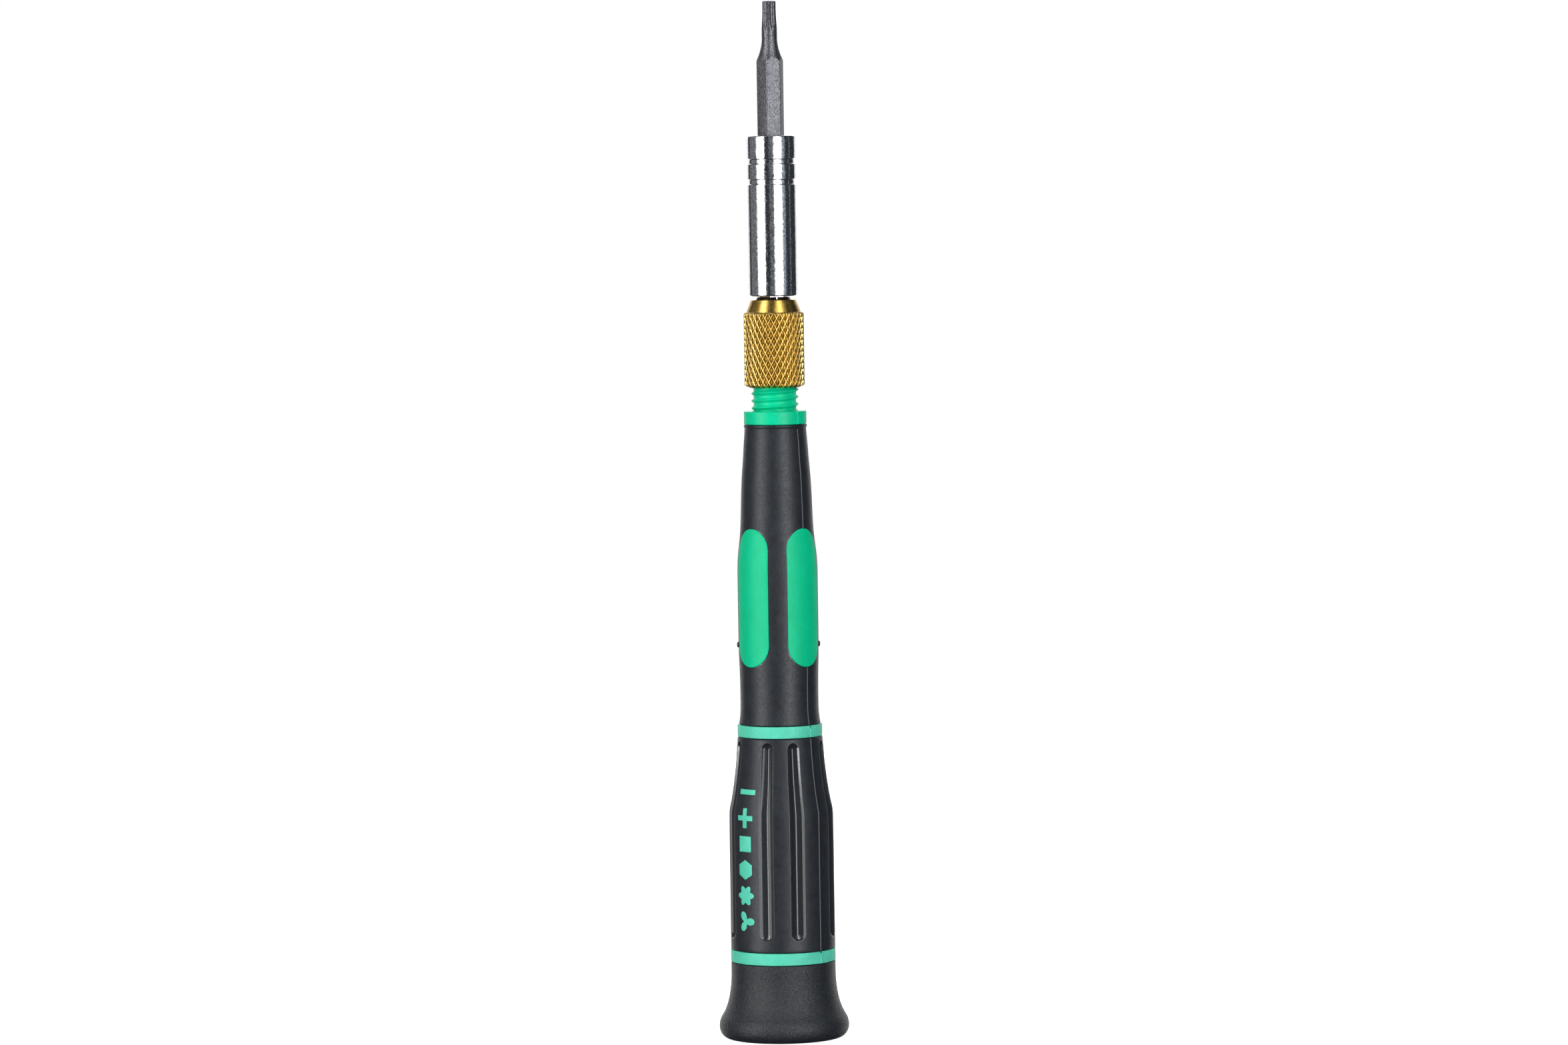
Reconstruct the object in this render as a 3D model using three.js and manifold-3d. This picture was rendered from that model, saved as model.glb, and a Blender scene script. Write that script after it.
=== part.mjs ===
// Watchmaker screwdriver, standing upright on its swivel cap with the bit pointing up.
// Millimetres, +Z up, origin at the centre of the cap's flat end. -Y is the front.
import * as THREE from 'three';
import { mergeVertices } from 'three/addons/utils/BufferGeometryUtils.js';
import Module from 'manifold-3d';

const wasm = await Module();
wasm.setup();

// ---- Driving dimensions. Heights are above the surface that the cap stands on. ----

const FACETS = 32;            // facets round a turned piece
const SNUG = 0.05;            // gap between pieces that are fixed to each other
const RUNNING = 0.1;          // gap between pieces that turn or slide

const HEX_FLATS = 4;          // standard bit drive, across flats
const HEX_TURN = 16;          // degrees that a flat is turned from the front

const BIT = {
  bottom: 144.3, top: 172.3, cornerTop: 162.4, neckRadius: 1.275, neckBottom: 166.1,
  taperBottom: 168.1, tipRadius: 1.14, endChamfer: 0.12,
  valleyRadius: 0.84, fluteRadius: 0.42, fluteStraightTo: 169.7, fluteEnd: 167.4,
};
const SLEEVE = {
  bottom: 123.56, top: 150.08, radius: 4.06, chamfer: 0.25,
  grooves: [142.45, 145.82], grooveWidth: 0.9, grooveDepth: 0.2,
};
const MAGNET = { bottom: 140.2, top: 144.2, radius: 1.95 };
const SHANK = { bottom: 90, top: 140.1, chamfer: 0.3 };

const THREAD = {
  pitch: 1.2, root: 3.575, crest: 3.9, rootWidth: 0.62, flank: 30, play: 0.11, facets: 16,
};
const NUT = {
  bottom: 108.42, top: 122.95, coneBottom: 121.15, coneRadius: 4.55, topRadius: 3.73,
  knurlBottom: 108.65, knurlRows: 12, knurlStep: 1, diamonds: 31, peak: 5.02, valley: 4.62,
  footRadius: 4.3, bore: 3.725, relief: 4.1, reliefBottom: 113.6, coneSeat: 118,
};
const COLLET = {
  bottom: 104, bodyRadius: 2.75, flangeBottom: 117.65, flangeRadius: 3.45, coneBottom: 118.5,
  noseBottom: 121.9, noseRadius: 2.9, bevelBottom: 122.95, top: 123.4, topRadius: 2.6,
  slots: 4, slotWidth: 0.5, slotBottom: 110.5,
};
const BUSH = { bottom: 88.1, top: 103.4, radius: 3.1 };

const CORE = {
  bossBottom: 9, bossRadius: 5, lowRing: [12.9, 14.9], lowRingRadius: 8.7,
  lowerRadius: 7.2, taperBottom: 38, taperTop: 50.45, taperRadius: 5.6,
  midRing: [50.45, 52.4], midRingRadius: 7, upperRadius: 4.3,
  collar: [102.35, 104.5], collarRadius: 5.2, noseTop: 117.5, edge: 0.25,
};
const PAD = { bottom: 62.15, top: 85.15, halfWidth: 3.5, count: 4, firstAngle: 45, rootRadius: 4 };
const UPPER_GRIP = { bottom: 52.5, top: 102.25, lipRadius: 5.25, neckRadius: 5.1 };
const LOWER_GRIP = { bottom: 15, top: 50.35, topRadius: 7.05, shoulder: 38.1, radius: 8.62 };
const FLUTE = { bottom: 16.9, top: 49.6, radius: 1.15, centreOut: 0.35, spread: 18 };

const CAP = {
  top: 12.8, topRadius: 8.7, flareTop: 10.6, rimRadius: 10.82, rimHeight: 2, restRadius: 9.2,
  recessRadius: 5.3, webTop: 8, webBottom: 4.95, screwRoom: 4.6,
};
const DISC = { radius: 5.55, top: 1.65, edgeHeight: 0.05, dishHeight: 0.6 };
const SCREW = {
  headBottom: 2, headTop: 4.2, headRadius: 3.6, shoulderRadius: 2, shoulderTop: 8.95,
  threadRadius: 1.5, top: 14.5, driveFlats: 2, driveDepth: 1.2,
};
const INSERT = { bottom: 9.05, top: 15.5, radius: 2.6, bore: 1.55, groove: 0.3 };
const WASHER = { bore: 2.1, screwRadius: 4.2, screwHeights: [4.25, 4.85], thrustHeights: [8.1, 8.9] };

// ---- Shape tools ----

const radians = THREE.MathUtils.degToRad;

/** A closed geometry as a manifold solid. */
function solidOf(geometry) {
  geometry.deleteAttribute('normal');
  geometry.deleteAttribute('uv');
  const { attributes, index } = mergeVertices(geometry, 1e-4);
  const triVerts = [];
  for (let i = 0; i < index.count; i += 3) {
    const [a, b, c] = [index.getX(i), index.getX(i + 1), index.getX(i + 2)];
    if (a !== b && b !== c && c !== a) triVerts.push(a, b, c);
  }
  const vertProperties = attributes.position.array;
  return new wasm.Manifold(new wasm.Mesh({
    numProp: 3, vertProperties, triVerts: new Uint32Array(triVerts),
  }));
}

/** A named mesh made from a manifold solid. */
function meshOf(name, solid, material) {
  const { vertProperties, triVerts } = solid.getMesh();
  const geometry = new THREE.BufferGeometry();
  geometry.setAttribute('position', new THREE.BufferAttribute(vertProperties, 3));
  geometry.setIndex(new THREE.BufferAttribute(triVerts, 1));
  geometry.computeVertexNormals();
  const mesh = new THREE.Mesh(geometry, material);
  mesh.name = name;
  return mesh;
}

/** Turns an outline of [radius, height] points, counter-clockwise, round the Z axis. */
function turned(outline, facets = FACETS) {
  const points = outline.map(([r, z]) => new THREE.Vector2(r, z));
  return solidOf(new THREE.LatheGeometry(points, facets).rotateX(Math.PI / 2));
}

/** A turned ring between two radii and two heights. */
function ring(inner, outer, bottom, top) {
  return turned([[inner, bottom], [outer, bottom], [outer, top], [inner, top], [inner, bottom]]);
}

/** A turned plug on the axis. */
function plug(radius, bottom, top) {
  return turned([[0, bottom], [radius, bottom], [radius, top], [0, top]]);
}

/** Extrudes a shape along Z between two heights. */
function prism(shape, bottom, top) {
  const options = { depth: top - bottom, bevelEnabled: false, curveSegments: 4 };
  return solidOf(new THREE.ExtrudeGeometry(shape, options).translate(0, 0, bottom));
}

/** A hexagon with one flat turned HEX_TURN degrees from the front. */
function hexagon(acrossFlats) {
  const corner = acrossFlats / 2 / Math.cos(Math.PI / 6);
  const points = [0, 1, 2, 3, 4, 5].map((k) => {
    const angle = radians(HEX_TURN + 60 * k);
    return new THREE.Vector2(corner * Math.cos(angle), corner * Math.sin(angle));
  });
  return new THREE.Shape(points);
}

/** Points of a curve that leaves start towards control and arrives at end. */
function sweep(start, control, end, steps) {
  const curve = new THREE.QuadraticBezierCurve(
    new THREE.Vector2(...start), new THREE.Vector2(...control), new THREE.Vector2(...end));
  return curve.getPoints(steps).map(({ x, y }) => [x, y]);
}

/** Points of a smooth curve through [radius, height] points. */
function smooth(points, steps) {
  const curve = new THREE.SplineCurve(points.map((point) => new THREE.Vector2(...point)));
  return curve.getPoints(steps).map(({ x, y }) => [x, y]);
}

/** Copies of a solid turned round Z to the given angles in degrees, joined. */
function round(solid, angles) {
  return wasm.Manifold.union(angles.map((angle) => solid.rotate([0, 0, angle])));
}

const evenly = (count, first = 0) => Array.from({ length: count }, (_, k) => first + (k * 360) / count);

// ---- Thread ----

/** A right-hand helical ridge with a closed [radius, height] section, counter-clockwise. */
function helix(section, pitch, bottom, top) {
  const perTurn = THREAD.facets;
  const steps = Math.ceil(((top - bottom) / pitch) * perTurn);
  const size = section.length;
  const positions = [];
  for (let i = 0; i <= steps; i++) {
    const angle = (i / perTurn) * 2 * Math.PI;
    const rise = bottom + (i / perTurn) * pitch;
    for (const [r, z] of section) positions.push(r * Math.cos(angle), r * Math.sin(angle), rise + z);
  }
  const index = [];
  for (let i = 0; i < steps; i++) {
    for (let j = 0; j < size; j++) {
      const [a, b] = [i * size + j, i * size + ((j + 1) % size)];
      index.push(a, a + size, b + size, a, b + size, b);
    }
  }
  const last = steps * size;
  for (let j = 1; j < size - 1; j++) index.push(0, j, j + 1, last, last + j + 1, last + j);
  const geometry = new THREE.BufferGeometry();
  geometry.setAttribute('position', new THREE.Float32BufferAttribute(positions, 3));
  geometry.setIndex(index);
  return solidOf(geometry);
}

/** The nose thread's ridge, or with play the larger groove that it runs in. */
function threadRidge(bottom, top, play) {
  const slope = Math.tan(radians(THREAD.flank));
  const inner = THREAD.root - 0.2;
  const outer = THREAD.crest + play;
  const innerHalf = THREAD.rootWidth / 2 + play + (THREAD.root - inner) * slope;
  const outerHalf = innerHalf - (outer - inner) * slope;
  const section = [[inner, -innerHalf], [outer, -outerHalf], [outer, outerHalf], [inner, innerHalf]];
  const start = Math.floor(bottom / THREAD.pitch) * THREAD.pitch;
  return helix(section, THREAD.pitch, start, top);
}

// ---- Bit and bit holder ----

function bit() {
  const { bottom, top, cornerTop, neckRadius, neckBottom, taperBottom, tipRadius, endChamfer } = BIT;
  const corner = HEX_FLATS / 2 / Math.cos(Math.PI / 6);
  const body = turned([
    [0, bottom], [1.9, bottom], [corner + SNUG, bottom + 0.4],
    ...sweep([corner + SNUG, cornerTop], [1.32, 164.3], [neckRadius, neckBottom], 4),
    [neckRadius, taperBottom], [tipRadius, top - 1.5], [tipRadius, top - endChamfer],
    [tipRadius - endChamfer, top], [0, top],
  ]);
  return body.intersect(prism(hexagon(HEX_FLATS), bottom - 1, top + 1)).subtract(tipFlutes());
}

/** Six round cutters that run down the tip and swing out of the neck. */
function tipFlutes() {
  const { valleyRadius, fluteRadius, fluteStraightTo, fluteEnd, neckRadius, top } = BIT;
  const along = valleyRadius + fluteRadius;
  const path = new THREE.CurvePath();
  path.add(new THREE.LineCurve3(
    new THREE.Vector3(along, 0, top + 1), new THREE.Vector3(along, 0, fluteStraightTo)));
  path.add(new THREE.QuadraticBezierCurve3(
    new THREE.Vector3(along, 0, fluteStraightTo),
    new THREE.Vector3(along, 0, (fluteStraightTo + fluteEnd) / 2),
    new THREE.Vector3(neckRadius + fluteRadius + 0.1, 0, fluteEnd)));
  const section = new THREE.Shape().absarc(0, 0, fluteRadius, 0, 2 * Math.PI);
  const options = { steps: 5, curveSegments: 4, extrudePath: path };
  return round(solidOf(new THREE.ExtrudeGeometry(section, options)), evenly(6, 10));
}

function holderSleeve() {
  const { bottom, top, radius, chamfer, grooves, grooveWidth, grooveDepth } = SLEEVE;
  const groove = (middle) => [
    [radius, middle - grooveWidth / 2], [radius - grooveDepth, middle - grooveWidth / 2 + 0.1],
    [radius - grooveDepth, middle + grooveWidth / 2 - 0.1], [radius, middle + grooveWidth / 2],
  ];
  const barrel = turned([
    [0, bottom], [radius - chamfer, bottom], [radius, bottom + chamfer],
    ...grooves.flatMap(groove),
    [radius, top - chamfer], [radius - chamfer, top], [0, top],
  ]);
  return barrel.subtract(prism(hexagon(HEX_FLATS + 2 * SNUG), bottom - 1, top + 1));
}

function holderMagnet() {
  return plug(MAGNET.radius, MAGNET.bottom, MAGNET.top);
}

function holderShank() {
  const { bottom, top, chamfer } = SHANK;
  const corner = HEX_FLATS / 2 / Math.cos(Math.PI / 6);
  const envelope = turned([
    [0, bottom], [corner - chamfer, bottom], [corner + SNUG, bottom + 2 * chamfer],
    [corner + SNUG, top - chamfer], [corner - chamfer, top], [0, top],
  ]);
  return envelope.intersect(prism(hexagon(HEX_FLATS), bottom, top));
}

// ---- Chuck: collet nut and collet ----

/** The nut's outside: a cone over rows of raised diamonds, split along their grooves. */
function nutBody() {
  const columns = 2 * NUT.diamonds;
  const level = (radius, z) => ({ z, radii: () => radius });
  const diamonds = (row) => ({
    z: NUT.knurlBottom + row * NUT.knurlStep,
    radii: (column) => ((row + column) % 2 ? NUT.valley : NUT.peak),
  });
  const rows = [
    level(NUT.footRadius, NUT.bottom),
    ...Array.from({ length: NUT.knurlRows + 1 }, (_, row) => diamonds(row)),
    level(NUT.coneRadius, NUT.coneBottom), level(NUT.topRadius, NUT.top),
  ];
  const positions = rows.flatMap(({ z, radii }) => Array.from({ length: columns }, (_, column) => {
    const angle = (column / columns) * 2 * Math.PI;
    return [radii(column) * Math.cos(angle), radii(column) * Math.sin(angle), z];
  })).flat();
  const base = positions.push(0, 0, NUT.bottom) / 3 - 1;
  const crown = positions.push(0, 0, NUT.top) / 3 - 1;
  const lastRow = (rows.length - 1) * columns;
  const index = [];
  for (let column = 0; column < columns; column++) {
    const next = (column + 1) % columns;
    index.push(base, next, column, crown, lastRow + column, lastRow + next);
    for (let row = 0; row < rows.length - 1; row++) {
      const [a, b] = [row * columns + column, row * columns + next];
      const [c, d] = [b + columns, a + columns];
      const peakFirst = (row - 1 + column) % 2 === 0;
      index.push(...(peakFirst ? [a, b, d, b, c, d] : [a, b, c, a, c, d]));
    }
  }
  const geometry = new THREE.BufferGeometry();
  geometry.setAttribute('position', new THREE.Float32BufferAttribute(positions, 3));
  geometry.setIndex(index);
  return solidOf(geometry);
}

function colletNut() {
  const { bottom, top, bore, relief, reliefBottom, coneSeat } = NUT;
  const mouth = COLLET.noseRadius + RUNNING;
  const seat = COLLET.flangeRadius + 1.5 * RUNNING;
  const hollow = turned([
    [0, bottom - 1], [bore + 0.3, bottom - 1], [bore + 0.3, bottom], [bore, bottom + 0.3],
    [bore, reliefBottom], [relief, reliefBottom], [relief, coneSeat], [seat, coneSeat],
    [seat, COLLET.coneBottom], [mouth, COLLET.noseBottom], [mouth, top + 1], [0, top + 1],
  ], THREAD.facets);
  const thread = threadRidge(bottom - THREAD.pitch, reliefBottom + 0.4, THREAD.play);
  return nutBody().subtract(hollow).subtract(thread);
}

function collet() {
  const body = turned([
    [0, COLLET.bottom], [COLLET.bodyRadius, COLLET.bottom],
    [COLLET.bodyRadius, COLLET.flangeBottom], [COLLET.flangeRadius, COLLET.flangeBottom],
    [COLLET.flangeRadius, COLLET.coneBottom], [COLLET.noseRadius, COLLET.noseBottom],
    [COLLET.noseRadius, COLLET.bevelBottom], [COLLET.topRadius, COLLET.top], [0, COLLET.top],
  ]);
  const reach = COLLET.flangeRadius + 1;
  const slot = new THREE.Shape([
    new THREE.Vector2(0, -COLLET.slotWidth / 2), new THREE.Vector2(reach, -COLLET.slotWidth / 2),
    new THREE.Vector2(reach, COLLET.slotWidth / 2), new THREE.Vector2(0, COLLET.slotWidth / 2),
  ]);
  const slots = round(prism(slot, COLLET.slotBottom, COLLET.top + 1), evenly(COLLET.slots, HEX_TURN));
  return body.subtract(hexBore(COLLET.bottom, COLLET.top)).subtract(slots);
}

/** The hexagonal way that the holder's shank slides in. */
function hexBore(bottom, top) {
  return prism(hexagon(HEX_FLATS + 2 * SNUG), bottom - 1, top + 1);
}

function noseBush() {
  return plug(BUSH.radius, BUSH.bottom, BUSH.top).subtract(hexBore(BUSH.bottom, BUSH.top));
}

// ---- Handle ----

/** The handle's outer line over the upper grip, from the middle ring to the collar. */
function upperOutline() {
  const waist = smooth([[6.78, UPPER_GRIP.bottom], [6.5, 56], [6.52, 60.2], [6.66, 66]], 4);
  const swell = smooth([[6.66, 78.6], [6.45, 81.9], [6.03, 85.9], [5.86, 90.8], [5.3, 99.2],
    [UPPER_GRIP.neckRadius, UPPER_GRIP.top - 0.6]], 6);
  return [...waist, ...swell, [UPPER_GRIP.lipRadius, UPPER_GRIP.top - 0.35],
    [UPPER_GRIP.lipRadius, UPPER_GRIP.top]];
}

/** The lower grip's outer line, from the low ring to the middle ring. */
function lowerOutline() {
  const { bottom, top, topRadius, shoulder, radius } = LOWER_GRIP;
  return [[CORE.lowRingRadius, bottom], [radius + 0.03, shoulder - 8],
    ...sweep([radius, shoulder], [7.5, 43], [topRadius, top], 4)];
}

/** A capsule-shaped prism that sticks out to the front, where one pad sits. */
function padPrism(margin) {
  const halfWidth = PAD.halfWidth + margin;
  const capsule = new THREE.Shape();
  capsule.absarc(0, PAD.top - PAD.halfWidth, halfWidth, 0, Math.PI);
  capsule.absarc(0, PAD.bottom + PAD.halfWidth, halfWidth, Math.PI, 2 * Math.PI);
  const reach = 10;
  const standing = prism(capsule, PAD.rootRadius, reach).rotate([90, 0, 0]);
  return round(standing, evenly(PAD.count, PAD.firstAngle));
}

function handleCore() {
  const { lowRing, midRing, collar, edge } = CORE;
  const body = turned([
    [0, CORE.bossBottom], [CORE.bossRadius, CORE.bossBottom], [CORE.bossRadius, lowRing[0]],
    [CORE.lowRingRadius - edge, lowRing[0]], [CORE.lowRingRadius, lowRing[0] + edge],
    [CORE.lowRingRadius, lowRing[1]], [CORE.lowerRadius, lowRing[1]],
    [CORE.lowerRadius, CORE.taperBottom], [CORE.taperRadius, CORE.taperTop],
    [CORE.midRingRadius, midRing[0]], [CORE.midRingRadius, midRing[1] - edge],
    [CORE.midRingRadius - edge, midRing[1]], [CORE.upperRadius, midRing[1]],
    [CORE.upperRadius, collar[0]], [CORE.collarRadius, collar[0]],
    [CORE.collarRadius, collar[1] - edge], [CORE.collarRadius - edge, collar[1]], [0, collar[1]],
  ]);
  const skin = turned([[0, UPPER_GRIP.bottom], ...upperOutline(), [0, UPPER_GRIP.top]]);
  const pads = padPrism(0).intersect(skin);
  const colletWay = plug(COLLET.bodyRadius + RUNNING, BUSH.top, CORE.noseTop + 1);
  const bushPocket = plug(BUSH.radius + SNUG, BUSH.bottom - SNUG, BUSH.top + SNUG);
  const insertPocket = plug(INSERT.radius + SNUG, CORE.bossBottom - 1, INSERT.top + SNUG);
  return wasm.Manifold.union([body, pads, threadedNose()])
    .subtract(wasm.Manifold.union([colletWay, bushPocket, insertPocket]));
}

/** The threaded nose above the collar, bevelled at its top. */
function threadedNose() {
  const bottom = CORE.collar[1] - CORE.edge;
  const top = CORE.noseTop;
  const envelope = turned([
    [0, bottom], [THREAD.crest + THREAD.play, bottom], [THREAD.crest + THREAD.play, top - 0.9],
    [THREAD.root - 0.2, top], [0, top],
  ], THREAD.facets);
  const root = turned([
    [0, bottom], [THREAD.root, bottom], [THREAD.root, top], [0, top],
  ], THREAD.facets);
  return root.add(threadRidge(bottom - THREAD.pitch, top + THREAD.pitch, 0)).intersect(envelope);
}

function upperGrip() {
  const bore = CORE.upperRadius + SNUG;
  const shell = turned([[bore, UPPER_GRIP.bottom], ...upperOutline(), [bore, UPPER_GRIP.top],
    [bore, UPPER_GRIP.bottom]]);
  return shell.subtract(padPrism(3 * SNUG));
}

function lowerGrip() {
  const { bottom, top } = LOWER_GRIP;
  const gap = 2 * SNUG;
  const shell = turned([
    [CORE.lowerRadius + gap, bottom], ...lowerOutline(), [CORE.taperRadius + gap, top],
    [CORE.lowerRadius + gap, CORE.taperBottom], [CORE.lowerRadius + gap, bottom],
  ]);
  return shell.subtract(gripFlutes());
}

/** Eight round-ended flutes, in pairs either side of the front, back, left and right. */
function gripFlutes() {
  const outline = lowerOutline().slice(1).reverse();
  const atHeight = ([r, z]) => new THREE.Vector3(0, -(r + FLUTE.centreOut), z);
  const ends = { top: FLUTE.top - FLUTE.radius, bottom: FLUTE.bottom + FLUTE.radius };
  const line = outline.filter(([, z]) => z < ends.top && z > ends.bottom);
  const route = [
    atHeight([LOWER_GRIP.topRadius + 0.1, ends.top]), ...line.map(atHeight),
    atHeight([CORE.lowRingRadius, ends.bottom]),
  ];
  const ball = new THREE.SphereGeometry(FLUTE.radius, 6, 4);
  const beads = [route[0], route.at(-1)].map((p) => solidOf(ball.clone()).translate([p.x, p.y, p.z]));
  const section = new THREE.Shape().absarc(0, 0, FLUTE.radius, 0, 2 * Math.PI);
  const path = new THREE.CatmullRomCurve3(route, false, 'centripetal');
  const tube = solidOf(new THREE.ExtrudeGeometry(section, { steps: 6, curveSegments: 3, extrudePath: path }));
  const flute = wasm.Manifold.union([tube, ...beads]);
  return round(flute, [...evenly(4, FLUTE.spread), ...evenly(4, -FLUTE.spread)]);
}

// ---- Swivel cap and its pivot ----

function swivelCap() {
  const { top, topRadius, flareTop, rimRadius, rimHeight, restRadius } = CAP;
  const flare = sweep([10.35, 3.7], [8.8, 6], [topRadius, flareTop], 4);
  const rim = Array.from({ length: 5 }, (_, k) => {
    const angle = (k / 4) * (Math.PI / 2);
    return [restRadius + (rimRadius - restRadius) * Math.sin(angle), rimHeight * (1 - Math.cos(angle))];
  });
  const discPocket = DISC.radius + SNUG;
  const screwWay = SCREW.shoulderRadius + 1.5 * RUNNING;
  return turned([
    [discPocket, 0], ...rim, ...flare, [topRadius, top - 0.2], [topRadius - 0.2, top],
    [CAP.recessRadius, top], [CAP.recessRadius, CAP.webTop], [screwWay, CAP.webTop],
    [screwWay, CAP.webBottom], [CAP.screwRoom, CAP.webBottom],
    [CAP.screwRoom, DISC.top + SNUG], [discPocket, DISC.top + SNUG], [discPocket, 0],
  ]);
}

function capEndDisc() {
  const { radius, top, edgeHeight, dishHeight } = DISC;
  const dish = sweep([0, dishHeight], [radius * 0.6, dishHeight], [radius - 0.4, edgeHeight], 5);
  return turned([...dish, [radius, edgeHeight], [radius, top], [0, top]]);
}

function pivotScrew() {
  const { headBottom, headTop, headRadius, shoulderRadius, shoulderTop, threadRadius, top } = SCREW;
  const body = turned([
    [0, headBottom], [headRadius - 0.3, headBottom], [headRadius, headBottom + 0.3],
    [headRadius, headTop], [shoulderRadius, headTop], [shoulderRadius, shoulderTop],
    [threadRadius, shoulderTop], [threadRadius, top - 0.4], [threadRadius - 0.4, top], [0, top],
  ]);
  return body.subtract(prism(hexagon(SCREW.driveFlats), headBottom - 1, headBottom + SCREW.driveDepth));
}

function pivotInsert() {
  const { bottom, top, radius, bore, groove } = INSERT;
  const middle = (bottom + top) / 2;
  return turned([
    [bore, bottom], [radius, bottom], [radius, middle - 0.6], [radius - groove, middle - 0.4],
    [radius - groove, middle + 0.4], [radius, middle + 0.6], [radius, top], [bore, top], [bore, bottom],
  ]);
}

const screwWasher = () => ring(WASHER.bore, WASHER.screwRadius, ...WASHER.screwHeights);
const thrustWasher = () => ring(WASHER.bore, CORE.bossRadius, ...WASHER.thrustHeights);

// ---- Materials and assembly ----

const finish = (color, roughness, metalness) => (
  new THREE.MeshStandardMaterial({ color, roughness, metalness }));

const FINISH = {
  bitSteel: finish(0x77777c, 0.55, 0.9),
  chrome: finish(0xd8dade, 0.08, 1),
  nickel: finish(0xb9bbbe, 0.3, 1),
  brass: finish(0xc9973f, 0.25, 1),
  darkSteel: finish(0x35332f, 0.45, 0.9),
  zinc: finish(0x9fa3a6, 0.4, 0.9),
  green: finish(0x16c98f, 0.45, 0),
  rubber: finish(0x313439, 0.8, 0),
  capPlastic: finish(0x34363b, 0.7, 0),
  nylon: finish(0xe6e3da, 0.5, 0),
};

const PIECES = [
  ['handle_core', handleCore, FINISH.green],
  ['upper_grip', upperGrip, FINISH.rubber],
  ['lower_grip', lowerGrip, FINISH.rubber],
  ['nose_bush', noseBush, FINISH.brass],
  ['collet', collet, FINISH.darkSteel],
  ['collet_nut', colletNut, FINISH.brass],
  ['holder_shank', holderShank, FINISH.nickel],
  ['holder_sleeve', holderSleeve, FINISH.chrome],
  ['holder_magnet', holderMagnet, FINISH.nickel],
  ['bit', bit, FINISH.bitSteel],
  ['swivel_cap', swivelCap, FINISH.capPlastic],
  ['cap_end_disc', capEndDisc, FINISH.capPlastic],
  ['pivot_screw', pivotScrew, FINISH.zinc],
  ['pivot_insert', pivotInsert, FINISH.brass],
  ['screw_washer', screwWasher, FINISH.zinc],
  ['thrust_washer', thrustWasher, FINISH.nylon],
];

const screwdriver = new THREE.Group();
for (const [name, make, material] of PIECES) screwdriver.add(meshOf(name, make(), material));

export default screwdriver;
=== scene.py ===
"""A watchmaker screwdriver standing on its swivel cap: the looks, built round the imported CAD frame.

Lengths in this file are millimetres until a piece is made, and angles are degrees. An angle round the
tool is counted from the front (-Y) and grows towards +X.
"""
import math

import bmesh
import bpy
import numpy as np
from mathutils import Matrix, Vector


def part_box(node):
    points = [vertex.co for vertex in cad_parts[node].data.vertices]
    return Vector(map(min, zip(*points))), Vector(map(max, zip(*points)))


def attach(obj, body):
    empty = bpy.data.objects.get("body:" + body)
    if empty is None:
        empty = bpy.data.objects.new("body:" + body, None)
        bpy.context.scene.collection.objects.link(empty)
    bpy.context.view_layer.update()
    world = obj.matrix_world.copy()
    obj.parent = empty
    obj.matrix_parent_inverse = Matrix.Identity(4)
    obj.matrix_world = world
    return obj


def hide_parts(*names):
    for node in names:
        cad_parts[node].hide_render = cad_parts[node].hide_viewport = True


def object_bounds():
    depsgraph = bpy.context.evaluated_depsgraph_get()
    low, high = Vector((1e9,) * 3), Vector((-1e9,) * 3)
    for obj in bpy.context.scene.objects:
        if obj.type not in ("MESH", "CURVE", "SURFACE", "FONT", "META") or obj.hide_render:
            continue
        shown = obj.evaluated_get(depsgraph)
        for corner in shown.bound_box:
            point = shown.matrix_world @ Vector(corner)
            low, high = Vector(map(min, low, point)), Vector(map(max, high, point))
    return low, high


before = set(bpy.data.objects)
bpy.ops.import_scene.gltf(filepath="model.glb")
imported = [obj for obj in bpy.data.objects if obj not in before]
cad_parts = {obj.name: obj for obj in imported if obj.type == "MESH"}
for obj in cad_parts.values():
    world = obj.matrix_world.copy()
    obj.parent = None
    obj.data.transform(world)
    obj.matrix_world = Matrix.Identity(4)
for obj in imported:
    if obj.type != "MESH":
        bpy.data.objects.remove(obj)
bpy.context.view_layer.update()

MM = 0.001

# ---- Sizes ----

HEX_FLATS = 4.0               # across the flats of the bit
HEX_CORNER = 1.14             # how far the blunted corners reach, as a share of half the flats
HEX_SOCKET = HEX_FLATS + 0.1  # across the flats of the holder's and the collet's hexagonal ways
HEX_TURN = 16.0               # the way one flat faces
HEX_STEPS = 144               # columns round a hexagonal piece, a multiple of six
ROUND_STEPS = 192             # columns round a plain turned piece
ON_AXIS = 1e-4                # the least radius of a turned outline

LOW_RING, MID_RING, COLLAR = (12.9, 14.9), (50.45, 52.4), (102.35, 104.5)
LOW_RING_RADIUS, MID_RING_RADIUS, COLLAR_RADIUS = 8.74, 7.03, 5.2

PAD_ANGLES = (45, 135, 225, 315)
PAD_BOTTOM, PAD_TOP = 62.1, 85.2
PAD_HALF = 3.66               # half the width of a pad's window
PAD_SKIN = 6.65               # the upper grip's radius about the pads
PARTING_ANGLES = (46, 226)    # where the two halves of the mould met
FLUTE_TURN = 17.5             # each grip flute's angle from the nearest side of the tool
FLUTE_HALF = 1.22
FLUTE_SKIN = 8.4              # the lower grip's radius about the flutes


def span(node):
    """A CAD node's lowest and highest point."""
    low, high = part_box(node)
    return low.z / MM, high.z / MM


# ---- Outlines and surfaces ----

def bend(start, control, end, steps=8):
    """Points along a quadratic curve."""
    start, control, end = (np.array(p, float) for p in (start, control, end))
    t = np.linspace(0, 1, steps + 1)[:, None]
    points = (1 - t) ** 2 * start + 2 * t * (1 - t) * control + t ** 2 * end
    return [tuple(p) for p in points]


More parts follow.
